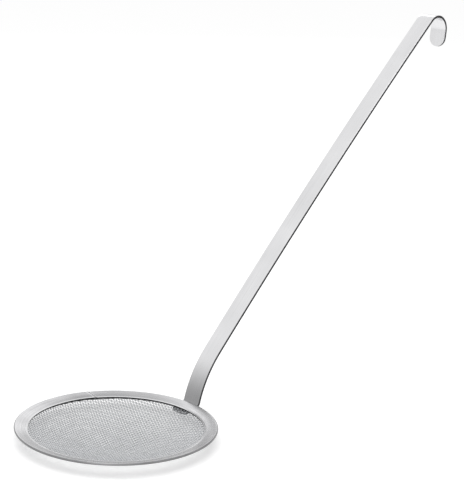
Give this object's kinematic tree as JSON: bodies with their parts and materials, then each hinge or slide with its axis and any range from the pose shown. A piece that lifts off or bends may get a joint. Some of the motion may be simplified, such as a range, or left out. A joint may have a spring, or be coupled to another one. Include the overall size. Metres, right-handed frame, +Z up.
{
  "type": "mesh skimmer",
  "caption": "Shallow round skimmer of woven wire cloth in a folded sheet rim, with a long bowed strap handle that ends in a hanging hook.",
  "frame": {"origin": "middle of the dish at the height of the middle of the rim's fold", "axes": "+Z up out of the level dish, +X from the dish towards the handle, +Y across the handle"},
  "size_m": [0.4689, 0.16, 0.3123],
  "materials": {
    "rim_sheet": "brushed round the ring, satin",
    "wire": "bright drawn wire",
    "strap": "polished along the strip, with darker cut edges"
  },
  "bodies": {
    "root": {"rim": "rim_sheet", "wire_cloth": "wire", "handle_strap": "strap"}
  },
  "joints": []
}
